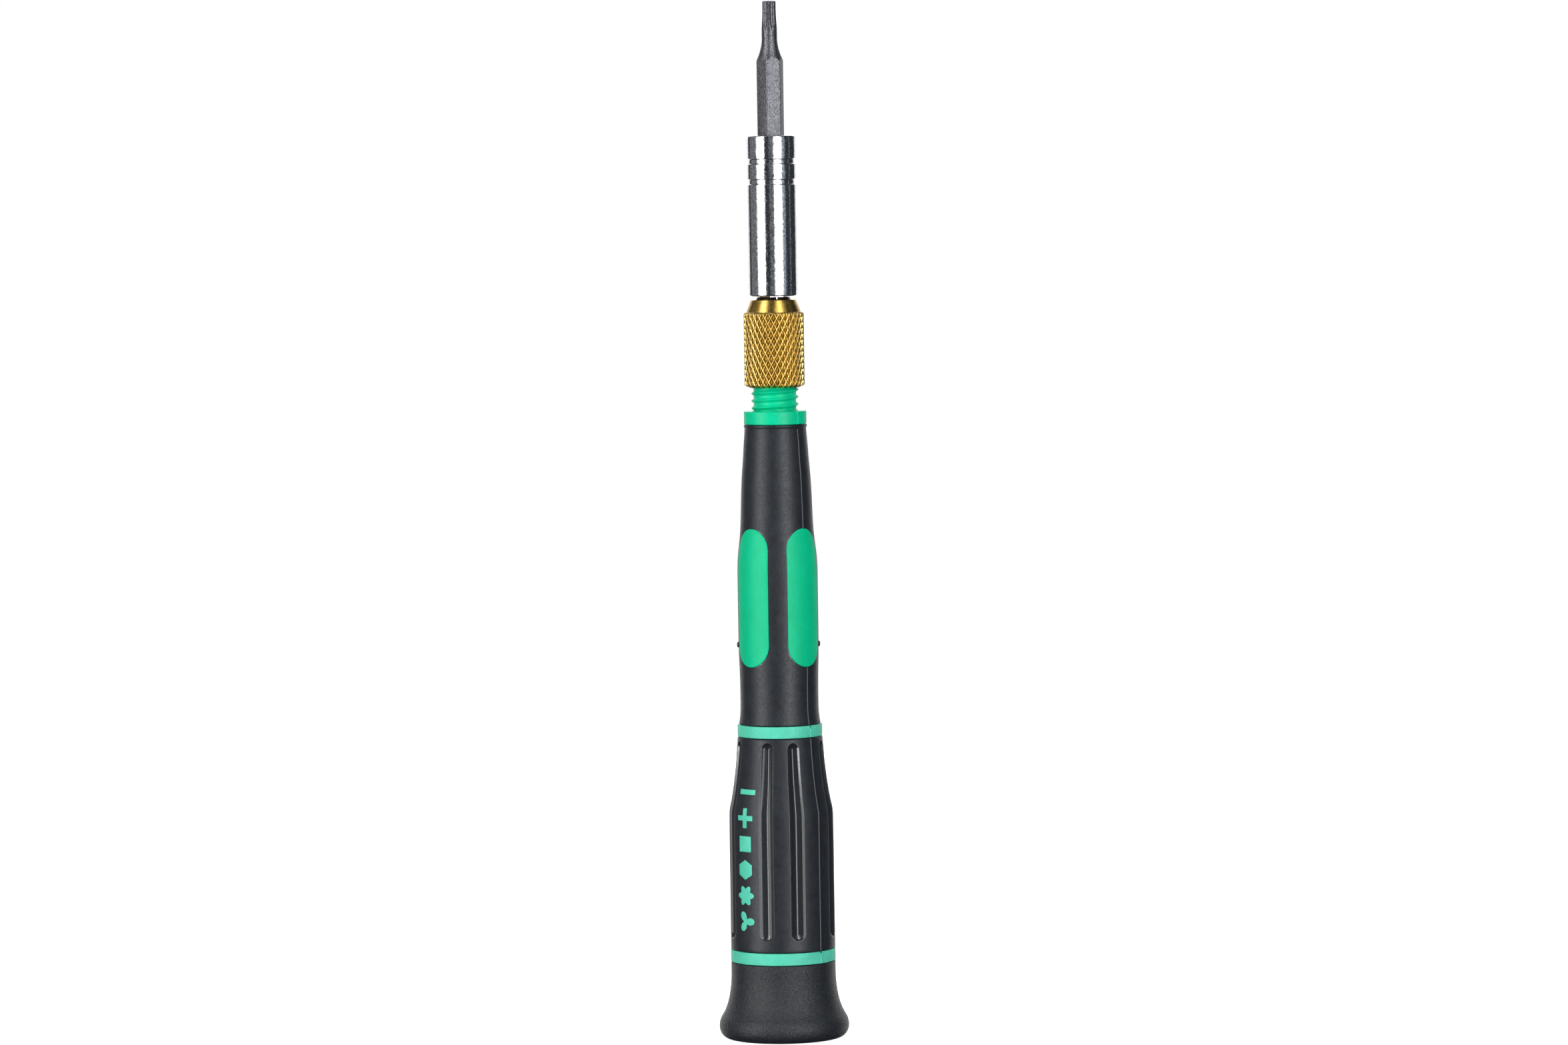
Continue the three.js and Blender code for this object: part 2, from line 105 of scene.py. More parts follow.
def rounded(corners, steps=4):
    """An outline of (radius, height, fillet) corners with each fillet rounded off."""
    outline = []
    for i, (r, z, fillet) in enumerate(corners):
        corner = np.array((r, z), float)
        if fillet == 0 or i in (0, len(corners) - 1):
            outline.append((r, z))
            continue
        before = np.array(corners[i - 1][:2]) - corner
        after = np.array(corners[i + 1][:2]) - corner
        cut = min(fillet, 0.48 * np.linalg.norm(before), 0.48 * np.linalg.norm(after))
        first = corner + before / np.linalg.norm(before) * cut
        last = corner + after / np.linalg.norm(after) * cut
        outline += bend(first, corner, last, steps)
    return outline


def smooth_line(points):
    """A function of height through (radius, height) points, without overshoot."""
    points = sorted(points, key=lambda p: p[1])
    z = np.array([p[1] for p in points], float)
    r = np.array([p[0] for p in points], float)
    slope = np.diff(r) / np.diff(z)
    tangent = np.concatenate([slope[:1], (slope[1:] + slope[:-1]) / 2, slope[-1:]])
    flat = np.concatenate([[False], slope[1:] * slope[:-1] <= 0, [False]])
    tangent[flat] = 0

    def radius(height):
        height = np.clip(height, z[0], z[-1])
        k = np.clip(np.searchsorted(z, height) - 1, 0, len(z) - 2)
        width = z[k + 1] - z[k]
        t = (height - z[k]) / width
        rise = (1 + 2 * t) * (1 - t) ** 2 * r[k] + t * t * (3 - 2 * t) * r[k + 1]
        return rise + width * (t * (1 - t) ** 2 * tangent[k] + t * t * (t - 1) * tangent[k + 1])

    return radius


def round_angles(steps, start=0.0):
    """Angles spread evenly round the axis."""
    return start + np.arange(steps) * 360.0 / steps


def row(angles, r, z):
    """A ring of points; r and z may change with the angle."""
    a = np.radians(angles)
    r = np.broadcast_to(np.asarray(r, float), a.shape)
    z = np.broadcast_to(np.asarray(z, float), a.shape)
    return np.stack([r * np.sin(a), -r * np.cos(a), z], axis=1)


def loft(rows, ring=False, wrap=True):
    """A surface through rows of equal length. ring joins the last row to the first."""
    count = len(rows[0])
    faces = []
    levels = len(rows) if ring else len(rows) - 1
    for i in range(levels):
        upper = (i + 1) % len(rows)
        for j in range(count if wrap else count - 1):
            k = (j + 1) % count
            faces.append((i * count + j, i * count + k, upper * count + k, upper * count + j))
    return np.concatenate(rows), faces


def capped(shell, count):
    """A loft with its first and last row closed by a fan."""
    verts, faces = shell
    total = len(verts)
    low, high = verts[:count].mean(0), verts[-count:].mean(0)
    fans = [(j, (j + 1) % count, total) for j in range(count)]
    fans += [(total - count + j, total - count + (j + 1) % count, total + 1) for j in range(count)]
    return np.concatenate([verts, [low, high]]), faces + fans


def turned(outline, ring=False):
    """Turns an outline of (radius, height) points round the axis."""
    angles = round_angles(ROUND_STEPS)
    rows = [row(angles, max(r, ON_AXIS), z) for r, z in outline]
    return loft(rows, ring=True) if ring else capped(loft(rows), ROUND_STEPS)


def hexagon_radius(angles, across_flats):
    """How far a hexagon's edge is from the axis in each direction, its corners a little blunted."""
    off_flat = (np.asarray(angles) - HEX_TURN + 30) % 60 - 30
    return across_flats / 2 * np.minimum(1 / np.cos(np.radians(off_flat)), HEX_CORNER)


# ---- Making pieces ----

WELD, SPECK = 2e-7, 1e-7      # metres: points closer than WELD are one, and edges under SPECK go


def place(name, data):
    """A new object in the scene that shows the data."""
    made = bpy.data.objects.new(name, data)
    bpy.context.scene.collection.objects.link(made)
    return made


def mesh_object(name, bm, materials):
    """A new object from a finished bmesh."""
    mesh = bpy.data.meshes.new(name)
    bm.to_mesh(mesh)
    bm.free()
    for material in materials:
        mesh.materials.append(material)
    return place(name, mesh)


def make_piece(name, shells, materials, body, replaced=(), sharp=32.0):
    """One object from shells (points, faces, material number), smooth but for sharp edges."""
    bm = bmesh.new()
    for verts, faces, *number in shells:
        made = [bm.verts.new(Vector(v) * MM) for v in verts]
        for face in faces:
            if len(set(face)) > 2:
                bm.faces.new([made[k] for k in face]).material_index = number[0] if number else 0
    bmesh.ops.remove_doubles(bm, verts=bm.verts, dist=WELD)
    bmesh.ops.dissolve_degenerate(bm, edges=bm.edges, dist=SPECK)
    bmesh.ops.recalc_face_normals(bm, faces=bm.faces)
    for face in bm.faces:
        face.smooth = True
    for edge in bm.edges:
        edge.smooth = len(edge.link_faces) == 2 and edge.calc_face_angle() < math.radians(sharp)
    piece = mesh_object(name, bm, materials if isinstance(materials, list) else [materials])
    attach(piece, body)
    if replaced:
        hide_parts(*replaced)


# ---- Materials ----

class Finish:
    """A Principled material whose textures are laid out in millimetres on the object."""

    def __init__(self, name, color, roughness, metallic=0.0, **inputs):
        self.material = bpy.data.materials.new(name)
        self.material.use_nodes = True
        self.nodes = self.material.node_tree.nodes
        self.links = self.material.node_tree.links
        self.shader = self.nodes["Principled BSDF"]
        self.shader.inputs["Base Color"].default_value = (*color, 1)
        self.shader.inputs["Roughness"].default_value = roughness
        self.shader.inputs["Metallic"].default_value = metallic
        for label, value in inputs.items():
            self.shader.inputs[label.replace("_", " ")].default_value = value
        self.place = self.nodes.new("ShaderNodeTexCoord").outputs["Object"]

    def space(self, stretch=(1, 1, 1)):
        """Object space in millimetres, stretched along each axis."""
        mapping = self.nodes.new("ShaderNodeMapping")
        mapping.inputs["Scale"].default_value = [k / MM for k in stretch]
        self.links.new(self.place, mapping.inputs["Vector"])
        return mapping.outputs["Vector"]

    def noise(self, size, detail=3.0, roughness=0.55, stretch=(1, 1, 1)):
        """Cloudy noise whose features are about size millimetres."""
        node = self.nodes.new("ShaderNodeTexNoise")
        node.inputs["Scale"].default_value = 1 / size
        node.inputs["Detail"].default_value = detail
        node.inputs["Roughness"].default_value = roughness
        self.links.new(self.space(stretch), node.inputs["Vector"])
        return node.outputs["Fac"]

    def pits(self, size):
        """Rounded cells of about size millimetres, as a sparked mould leaves them."""
        node = self.nodes.new("ShaderNodeTexVoronoi")
        node.feature = "SMOOTH_F1"
        node.inputs["Scale"].default_value = 1 / size
        node.inputs["Smoothness"].default_value = 0.6
        self.links.new(self.space(), node.inputs["Vector"])
        return node.outputs["Distance"]

    def spread(self, value, low, high, start=0.3, end=0.7):
        """Maps a texture between two numbers."""
        node = self.nodes.new("ShaderNodeMapRange")
        for label, number in zip(("From Min", "From Max", "To Min", "To Max"), (start, end, low, high)):
            node.inputs[label].default_value = number
        self.links.new(value, node.inputs["Value"])
        return node.outputs["Result"]

    def tint(self, value, dark, light, start=0.35, end=0.65):
        """Colours a texture from dark to light."""
        node = self.nodes.new("ShaderNodeValToRGB")
        node.color_ramp.elements[0].position = start
        node.color_ramp.elements[0].color = (*dark, 1)
        node.color_ramp.elements[1].position = end
        node.color_ramp.elements[1].color = (*light, 1)
        self.links.new(value, node.inputs["Fac"])
        return node.outputs["Color"]

    def bump(self, height, depth, below=None):
        """Relief whose full depth is given in millimetres."""
        node = self.nodes.new("ShaderNodeBump")
        node.inputs["Strength"].default_value = 1.0
        node.inputs["Distance"].default_value = depth * MM
        self.links.new(height, node.inputs["Height"])
        if below is not None:
            self.links.new(below, node.inputs["Normal"])
        return node.outputs["Normal"]

    def set(self, label, socket):
        """Feeds a texture to the shader."""
        self.links.new(socket, self.shader.inputs[label])
        return self


def green_plastic(name, color, light, roughness, grain):
    """Satin hard plastic with a fine sparked grain and slightly uneven colour."""
    finish = Finish(name, color, roughness, Specular_IOR_Level=0.17)
    cloud = finish.noise(2.6, detail=4)
    finish.set("Base Color", finish.tint(cloud, color, light))
    finish.set("Roughness", finish.spread(finish.noise(0.35), roughness - 0.07, roughness + 0.1))
    wave = finish.bump(finish.noise(0.9, detail=2), 0.012)
    return finish.set("Normal", finish.bump(finish.pits(0.16), grain, wave)).material


def black_rubber():
    """Soft overmould: charcoal, fine grain, a little rubbed."""
    finish = Finish("black_rubber", (0.013, 0.015, 0.019), 0.37, Specular_IOR_Level=0.3)
    cloud = finish.noise(1.8, detail=5, roughness=0.65)
    finish.set("Base Color", finish.tint(cloud, (0.0105, 0.0122, 0.0155), (0.0155, 0.018, 0.0225)))
    finish.set("Roughness", finish.spread(finish.noise(0.5, detail=4), 0.29, 0.45))
    grain = finish.bump(finish.pits(0.15), 0.016)
    return finish.set("Normal", finish.bump(finish.noise(0.07, detail=2), 0.01, grain)).material


def smooth_rubber():
    """The same rubber where the mould was cut and not sparked: in the flutes and on parting lines."""
    finish = Finish("smooth_rubber", (0.0125, 0.014, 0.017), 0.15, Specular_IOR_Level=0.62)
    finish.set("Roughness", finish.spread(finish.noise(0.6, detail=4), 0.11, 0.22))
    return finish.set("Normal", finish.bump(finish.noise(0.4, detail=3), 0.004)).material


def cap_plastic():
    """Hard charcoal plastic with a coarse spark-eroded grain."""
    finish = Finish("cap_plastic", (0.014, 0.0155, 0.0185), 0.34, Specular_IOR_Level=0.3)
    speck = finish.noise(0.2, detail=2)
    finish.set("Base Color", finish.tint(speck, (0.009, 0.0105, 0.013), (0.021, 0.0235, 0.0275)))
    finish.set("Roughness", finish.spread(finish.noise(0.3, detail=3), 0.24, 0.42))
    grain = finish.bump(finish.pits(0.24), 0.07)
    return finish.set("Normal", finish.bump(finish.noise(0.12, detail=3), 0.05, grain)).material


def brass(name, roughness, dark=(0.43, 0.27, 0.05), light=(0.6, 0.39, 0.1)):
    """Turned brass: bright, with fine tool lines round it and a little tarnish."""
    finish = Finish(name, light, roughness, 1.0)
    tarnish = finish.noise(1.1, detail=5, roughness=0.6)
    finish.set("Base Color", finish.tint(tarnish, dark, light, 0.3, 0.6))
    finish.set("Roughness", finish.spread(finish.noise(0.25, detail=4), roughness - 0.06, roughness + 0.08))
    lines = finish.noise(0.5, detail=3, stretch=(0.25, 0.25, 9))
    return finish.set("Normal", finish.bump(lines, 0.002)).material


def chrome():
    """Polished chrome plate with finely pitted, duller flecks and faint polishing lines."""
    finish = Finish("chrome", (0.78, 0.79, 0.81), 0.06, 1.0)
    tone = finish.noise(0.35, detail=3, roughness=0.7)
    finish.set("Base Color", finish.tint(tone, (0.42, 0.43, 0.46), (0.82, 0.83, 0.85), 0.38, 0.6))
    pitting = finish.noise(0.25, detail=3, roughness=0.7)
    finish.set("Roughness", finish.spread(pitting, 0.05, 0.27, 0.51, 0.66))
    ripple = finish.bump(finish.noise(0.7, detail=2), 0.012)
    fleck = finish.bump(finish.noise(0.2, detail=2, roughness=0.7), 0.011, ripple)
    lines = finish.noise(0.7, detail=2, stretch=(0.15, 0.15, 4))
    return finish.set("Normal", finish.bump(lines, 0.001, fleck)).material


def bit_steel():
    """Sand-blasted tool steel, dull grey, a little brighter where it has rubbed."""
    finish = Finish("bit_steel", (0.1, 0.1, 0.11), 0.38, 0.85)
    cloud = finish.noise(0.4, detail=5, roughness=0.75)
    finish.set("Base Color", finish.tint(cloud, (0.062, 0.062, 0.068), (0.145, 0.145, 0.158)))
    finish.set("Roughness", finish.spread(finish.noise(0.2, detail=3), 0.26, 0.5))
    grain = finish.bump(finish.pits(0.2), 0.035)
    return finish.set("Normal", finish.bump(finish.noise(0.3, detail=4), 0.03, grain)).material


def plain_metal(name, color, roughness):
    """Turned or drawn metal for the small pieces."""
    finish = Finish(name, color, roughness, 1.0)
    cloud = finish.noise(0.8, detail=4)
    finish.set("Base Color", finish.tint(cloud, [k * 0.75 for k in color], color))
    finish.set("Roughness", finish.spread(finish.noise(0.3), roughness - 0.06, roughness + 0.1))
    turned_lines = finish.noise(0.5, detail=2, stretch=(0.3, 0.3, 8))
    return finish.set("Normal", finish.bump(turned_lines, 0.01)).material


def nylon():
    """Natural nylon, a little waxy."""
    finish = Finish("nylon", (0.8, 0.78, 0.7), 0.45, Subsurface_Weight=0.1)
    finish.set("Roughness", finish.spread(finish.noise(0.6), 0.38, 0.55))
    return finish.set("Normal", finish.bump(finish.noise(0.3), 0.01)).material


# ---- Bit ----

SHANK_FOOT = ((1.75, 0), (2.0, 0.25), (HEX_FLATS, 0.6))     # (largest radius, height above the foot)
NECK_RADIUS, TIP_RADIUS, END_CHAMFER = 1.275, 1.14, 0.12
LOBE_TURN = 25.0                        # the way one flute between the tip's lobes faces
LOBE_FLUTE, LOBE_VALLEY = 0.42, 0.83    # a flute's own radius, and its floor's distance from the axis
CUT_STRAIGHT, CUT_RUN_OUT = 2.6, 2.4    # how far the flutes run straight, and how far they take to end
CUT_LIFT = 0.55


def bit_shank_rows(angles, bottom, corner_top, neck_bottom):
    """The hexagonal shank, with a blunt foot and flats that run out into the turned flare."""
    flats = hexagon_radius(angles, HEX_FLATS)
    start, end = (flats.max(), corner_top), (NECK_RADIUS, neck_bottom)
    flare = np.array(bend(start, (1.32, neck_bottom - 1.8), end, 40))
    meets_flat = np.interp(flats, flare[::-1, 0], flare[::-1, 1])
    rows = [row(angles, np.minimum(flats, limit), bottom + up) for limit, up in SHANK_FOOT]
    rows.append(row(angles, flats, corner_top - 0.6))
    for share in np.linspace(0, 1, 25):
        z = meets_flat + (neck_bottom - meets_flat) * share
        rows.append(row(angles, np.interp(z, flare[:, 1], flare[:, 0]), z))
    return rows


def fluted(angles, radius, below_top):
    """The six-lobed outline of the tip; the flutes run out of the neck as the cutter lifted off."""
    lift = max(0.0, (below_top - CUT_STRAIGHT) / CUT_RUN_OUT)
    centre = LOBE_VALLEY + LOBE_FLUTE + CUT_LIFT * lift ** 2
    off = np.radians((angles - LOBE_TURN + 30) % 60 - 30)
    across = centre * np.sin(off)
    depth = np.sqrt(np.maximum(LOBE_FLUTE ** 2 - across ** 2, 0))
    cut = np.where(np.abs(across) < LOBE_FLUTE, centre * np.cos(off) - depth, radius)
    return np.minimum(radius, cut)


def build_bit(material):
    """The exchangeable bit: hexagonal shank, round neck and six-lobed tip."""
    bottom, top = span("bit")
    neck_bottom = top - 6.2
    angles = round_angles(HEX_STEPS, HEX_TURN)
    rows = bit_shank_rows(angles, bottom, top - 9.9, neck_bottom)
    outer = smooth_line([
        (NECK_RADIUS, neck_bottom), (NECK_RADIUS, top - 4.6), (TIP_RADIUS + 0.03, top - 2.2),
        (TIP_RADIUS, top - 0.8), (TIP_RADIUS, top - END_CHAMFER),
    ])
    for z in np.linspace(neck_bottom + 0.3, top - END_CHAMFER, 44):
        rows.append(row(angles, fluted(angles, float(outer(z)), top - z), z))
    rows.append(row(angles, fluted(angles, TIP_RADIUS, 0.0) - END_CHAMFER, top))
    shell = capped(loft(rows), HEX_STEPS)
    make_piece("bit_six_lobe", [shell], material, "bit", ["bit"], 25)


# ---- Bit holder ----

def build_sleeve(material):
    """The holder's chrome barrel: two turned grooves outside, a hexagonal way inside."""
    bottom, top = span("holder_sleeve")
    radius, end_round, mouth = 4.06, 0.28, 2.75
    groove_half, groove_depth, slant, lead_in = 0.45, 0.22, 0.08, 0.25
    outline = [(mouth, bottom, 0), (radius, bottom, end_round)]
    for middle in (top - 7.63, top - 4.26):
        low, high = middle - groove_half, middle + groove_half
        outline += [
            (radius, low, 0.05), (radius - groove_depth, low + slant, 0.08),
            (radius - groove_depth, high - slant, 0.08), (radius, high, 0.05),
        ]
    outline += [(radius, top, end_round), (mouth, top, 0)]
    angles = round_angles(HEX_STEPS, HEX_TURN)
    rows = [row(angles, r, z) for r, z in rounded(outline)]
    hexagon = hexagon_radius(angles, HEX_SOCKET)
    lead = np.minimum(hexagon + 0.22, 2.6)
    rows += [
        row(angles, lead, top), row(angles, hexagon, top - lead_in),
        row(angles, hexagon, bottom + lead_in), row(angles, lead, bottom),
    ]
    shell = loft(rows, ring=True)
    make_piece("holder_barrel", [shell], material, "holder", ["holder_sleeve"])


# ---- Chuck ----

# The knurling is a lattice of rhombi. "Near" is 0 in the middle of a diamond and 1 on a raised line.
KNURL_CELLS, KNURL_STEPS = 31, 10       # diamonds round the nut, and lattice steps across each
KNURL_PERIOD, KNURL_HALVES = 1.923, 13  # a diamond's height, and how many half diamonds there are
KNURL_LEVELS = KNURL_HALVES * KNURL_STEPS
KNURL_HEIGHT = KNURL_PERIOD * KNURL_HALVES / 2
KNURL_FLOOR, KNURL_RELIEF = 4.67, 0.34
KNURL_NEAR = [0, 0.24, 0.48, 0.7, 0.84, 1]
KNURL_SHAPE = [0.66, 0.46, 0.1, 0, 0.84, 1]
KNURL_DIP = 0.13                        # how much of a raised line's height is gone between crossings
KNURL_BEVEL = 1.5                       # slope of the bevel at each end
LATTICE_EVEN, LATTICE_MOVED = np.arange(6) / 10, [0, 0.12, 0.24, 0.35, 0.42, 0.5]
LINE_NEAR = 0.8                         # faces that come nearer than this are the lines, given a lighter brass as painted highlight
NUT_FOOT, CONE_RADIUS = 4.35, 4.55


def warp(value):
    """Moves lattice lines towards the raised lines, where the shape changes fastest."""
    whole = np.round(value)
    off = value - whole
    return whole + np.sign(off) * np.interp(np.abs(off), LATTICE_EVEN, LATTICE_MOVED)


def knurl_level(j, count, bottom):
    """One level of the lattice: its points, and how near each is to a raised line."""
    across = (2 * np.arange(count) + j % 2) / (2 * KNURL_STEPS)
    up = j / (2 * KNURL_STEPS)
    a, b = warp(across + up), warp(across - up)
    off = 2 * np.abs([a - np.round(a), b - np.round(b)])
    near, crossing = off.max(0), off.min(0)
    z = bottom + KNURL_PERIOD * (a - b) / 2
    kept = 1 - KNURL_DIP + KNURL_DIP * crossing ** 2
    r = KNURL_FLOOR + KNURL_RELIEF * np.interp(near, KNURL_NEAR, KNURL_SHAPE) * kept
    foot_bevel = NUT_FOOT + (z - bottom) * KNURL_BEVEL
    head_bevel = CONE_RADIUS + (bottom + KNURL_HEIGHT - z) * KNURL_BEVEL
    r = np.minimum(r, np.minimum(foot_bevel, head_bevel))
    return row((a + b) / 2 / KNURL_CELLS * 360, r, z), near


def knurl(bottom):
    """Crossed knurling: thin raised lines with a low tip between them, the ends bevelled."""
    count = KNURL_CELLS * KNURL_STEPS
    levels = [knurl_level(j, count, bottom) for j in range(KNURL_LEVELS + 1)]
    verts = np.concatenate([points for points, _ in levels])
    near = np.concatenate([nearness for _, nearness in levels])
    last = KNURL_LEVELS * count
    # Faces near a raised line take material 1, brass lightened as painted highlight; the rest take material
    # 2, brass darkened as painted shade in the hollows.
    lines, hollows = [], []
    for k in range(count):
        before, after = (k - 1) % count, (k + 1) % count
        lines += [(k, after, count + k), (last - count + k, last + after, last + k)]
        for j in range(KNURL_LEVELS - 1):
            here, above = j * count + k, (j + 1) * count
            left, right = (before, k) if j % 2 == 0 else (k, after)
            face = (here, above + right, here + 2 * count, above + left)
            (lines if max(near[list(face)]) > LINE_NEAR else hollows).append(face)
    return [(verts, lines, 1), (verts, hollows, 2)]


def build_nut(materials):
    """The brass collet nut: knurling and cone outside; bore, relief and the collet's mouth inside."""
    bottom, top = span("collet_nut")
    cone_low = bottom + KNURL_HEIGHT
    angles = round_angles(KNURL_CELLS * KNURL_STEPS)
    mouth, relief, bore = 3.0, 4.1, 3.8
    outline = [
        (CONE_RADIUS, cone_low, 0), (CONE_RADIUS - 0.01, cone_low + 0.02, 0), (3.73, top, 0.1),
        (mouth + 0.1, top, 0.08), (mouth, top - 0.5, 0), (mouth, top - 5.4, 0),
        (relief, top - 5.6, 0), (relief, bottom + 5, 0), (bore, bottom + 5, 0),
        (bore, bottom + 0.3, 0), (3.98, bottom, 0.1), (NUT_FOOT, bottom, 0),
    ]
    body = loft([row(angles, r, z) for r, z in rounded(outline)])
    shells = [body, *knurl(bottom)]
    make_piece("knurled_nut", shells, materials, "nut", ["collet_nut"], 70)


def collet_jaw(first, outline, bottom, top):
    """One closed jaw of the collet, from angle first to the next slot."""
    slot_half, way_radius, columns = 0.25, 2.2, 25

    def spread(radius):
        margin = math.degrees(slot_half / radius)
        return np.linspace(first + margin, first + 90 - margin, columns)

    rows = [row(spread(r), r, z) for r, z in outline]
    inner = spread(way_radius)
    rows += [row(inner, hexagon_radius(inner, HEX_SOCKET), z) for z in (top, bottom)]
    verts, faces = loft(rows, ring=True, wrap=False)
    ends = [tuple(range(0, len(verts), columns)), tuple(range(columns - 1, len(verts), columns))]
    return verts, faces + ends


def build_collet(material):
    """Four spring jaws over a plain sleeve; only their bevelled noses show above the nut."""
    bottom, top = span("collet")
    body, flange, nose, slot_bottom = 2.75, 3.45, 2.9, top - 12.9
    outline = rounded([
        (body, slot_bottom, 0), (body, top - 5.75, 0.1), (flange, top - 5.75, 0.15),
        (flange, top - 4.9, 0.1), (nose, top - 1.5, 0.1), (nose, top - 0.45, 0.06), (2.6, top, 0.05),
    ])
    shells = [collet_jaw(HEX_TURN + 90 * quarter, outline, slot_bottom, top) for quarter in range(4)]
    angles = round_angles(HEX_STEPS, HEX_TURN)
    hexagon = hexagon_radius(angles, HEX_SOCKET)
    sleeve = [
        row(angles, body, bottom), row(angles, body, slot_bottom),
        row(angles, hexagon, slot_bottom), row(angles, hexagon, bottom),
    ]
    shells.append(loft(sleeve, ring=True))
    make_piece("collet_jaws", shells, material, "collet", ["collet"])


# ---- Handle ----

UPPER_BOTTOM, UPPER_TOP = span("upper_grip")
LOWER_BOTTOM, LOWER_TOP = span("lower_grip")

upper_radius = smooth_line([
    (6.78, UPPER_BOTTOM), (6.6, UPPER_BOTTOM + 1.1), (6.49, 56.2), (6.52, 60.2), (6.64, 64.5),
    (6.67, 70), (6.67, 77.5), (6.56, 80.4), (6.3, 82.7), (6.08, 85), (5.98, 87.3), (5.86, 90.8),
    (5.7, 93.9), (5.5, 96.3), (5.3, 99.2), (5.13, 101.3), (5.12, UPPER_TOP - 0.5),
])
lower_radius = smooth_line(
    bend((7.05, LOWER_TOP), (7.5, 43), (8.6, 38.2), 8) + [(8.66, 36), (8.68, 26), (8.7, LOWER_BOTTOM)])


def on_skin(radius_at, angles, z, out=0.0):
    """Points that stand out from a skin of revolution; z and out may change with the angle."""
    return row(angles, radius_at(z) + out, z)


class Capsule:
    """A round-ended upright window or flute on a skin of revolution.

    Its outline is kept as points (across, height, height of the nearest point of the middle line),
    from the right side over the top and the left side back to the bottom.
    """

    def __init__(self, angle, half_width, bottom, top, radius, arc=6, side=30, crown=12):
        self.angle, self.radius = angle, radius
        low, high = bottom + half_width, top - half_width

        def arc_points(turns, spine):
            turns = [math.radians(t) for t in turns]
            return [(half_width * math.cos(t), spine + half_width * math.sin(t), spine) for t in turns]

        quarter = np.linspace(-45, 0, arc + 1)[:-1]
        right = arc_points(quarter, low)
        right += [(half_width, z, z) for z in np.linspace(low, high, side)]
        right += arc_points(-quarter[::-1], high)
        over = arc_points(np.linspace(45, 135, crown + 1)[1:-1], high)
        left = [(-u, z, spine) for u, z, spine in right[::-1]]
        under = arc_points(np.linspace(225, 315, crown + 1)[1:-1], low)
        self.points = np.array(right + over + left + under)
        self.side, self.end = len(right), len(over)

    def ring(self, scale):
        """Angles and heights of the outline, shrunk by scale towards its middle line."""
        across = self.points[:, 0] * scale
        z = self.points[:, 2] + (self.points[:, 1] - self.points[:, 2]) * scale
        return self.angle + np.degrees(across / self.radius), z

    def frame_ring(self, left, right, bottom, top):
        """The same number of points round the rectangle that the outline sits in."""
        own = self.points[:self.side, 1]
        z = bottom + (own - own[0]) / (own[-1] - own[0]) * (top - bottom)
        over = np.linspace(right, left, self.end + 2)[1:-1]
        under = np.linspace(left, right, self.end + 2)[1:-1]
        angles = np.concatenate([np.full(self.side, right), over, np.full(self.side, left), under])
        heights = np.concatenate([z, np.full(self.end, top), z[::-1], np.full(self.end, bottom)])
        return angles, heights

    def edge_angles(self, left, right):
        """The angles of a panel's top edge, so that the band above it shares its points."""
        return np.linspace(left, right, self.end + 2)[:-1]


PANEL_SHARES = (1, 0.62, 0.36, 0.18, 0.07, 0.02)    # rings from a panel's edge in to its window


def skin_panel(radius_at, capsule, left, right, bottom, top, inner):
    """A rectangle of skin round a capsule, with inner (scale, depth) rings inside its edge."""
    frame_angles, frame_z = capsule.frame_ring(left, right, bottom, top)
    edge_angles, edge_z = capsule.ring(1.0)
    outside = []
    for share in PANEL_SHARES:
        angles = edge_angles + (frame_angles - edge_angles) * share
        z = edge_z + (frame_z - edge_z) * share
        outside.append(on_skin(radius_at, angles, z))
    inside = outside[-1:] + inset_rows(radius_at, capsule, inner)
    return (*loft(outside), 0), (*loft(inside), 1)


def band(radius_at, angles, heights):
    """A plain band of skin through the given heights."""
    return loft([on_skin(radius_at, angles, z) for z in heights])


def pad_capsule(angle):
    """The window in the upper grip that a pad fills."""
    return Capsule(angle, PAD_HALF, PAD_BOTTOM, PAD_TOP, PAD_SKIN)


def inset_rows(radius_at, capsule, rings):
    """Rows of points on (scale, depth) rings inside a capsule."""
    rows = []
    for scale, depth in rings:
        angles, z = capsule.ring(scale)
        rows.append(on_skin(radius_at, angles, z, -depth))
    return rows


def build_upper_grip(material):
    """The upper overmould: four panels with a window each, and plain bands below and above them."""
    low, high = 59.0, 88.4
    foot_top, crown_bottom = UPPER_BOTTOM + 0.12, UPPER_TOP - 0.55
    inner_radius, lip_radius = 4.4, 5.24
    window_edge = [(1.0, 0.0), (0.995, 0.02), (0.991, 0.08), (0.99, 0.9)]
    shells, angles = [], []
    for angle in PAD_ANGLES:
        window, left, right = pad_capsule(angle), angle - 45, angle + 45
        shells += skin_panel(upper_radius, window, left, right, low, high, window_edge)
        angles.append(window.edge_angles(left, right))
    angles = np.concatenate(angles)
    below = np.concatenate([[foot_top, UPPER_BOTTOM + 0.4], np.linspace(53.4, low, 9)])
    above = np.concatenate([np.linspace(high, UPPER_TOP - 0.75, 16), [crown_bottom]])
    foot = [(inner_radius, UPPER_BOTTOM), (6.6, UPPER_BOTTOM), (6.72, UPPER_BOTTOM + 0.03)]
    foot = [row(angles, r, z) for r, z in foot] + [on_skin(upper_radius, angles, foot_top)]
    crown = [
        (lip_radius - 0.05, UPPER_TOP - 0.42), (lip_radius, UPPER_TOP - 0.33),
        (lip_radius, UPPER_TOP - 0.06), (lip_radius - 0.06, UPPER_TOP), (inner_radius, UPPER_TOP),
    ]
    crown = [on_skin(upper_radius, angles, crown_bottom)] + [row(angles, r, z) for r, z in crown]
    shells += [band(upper_radius, angles, below), band(upper_radius, angles, above)]
    shells += [loft(foot), loft(crown)]
    make_piece("grip_upper", shells, material, "handle", ["upper_grip"])


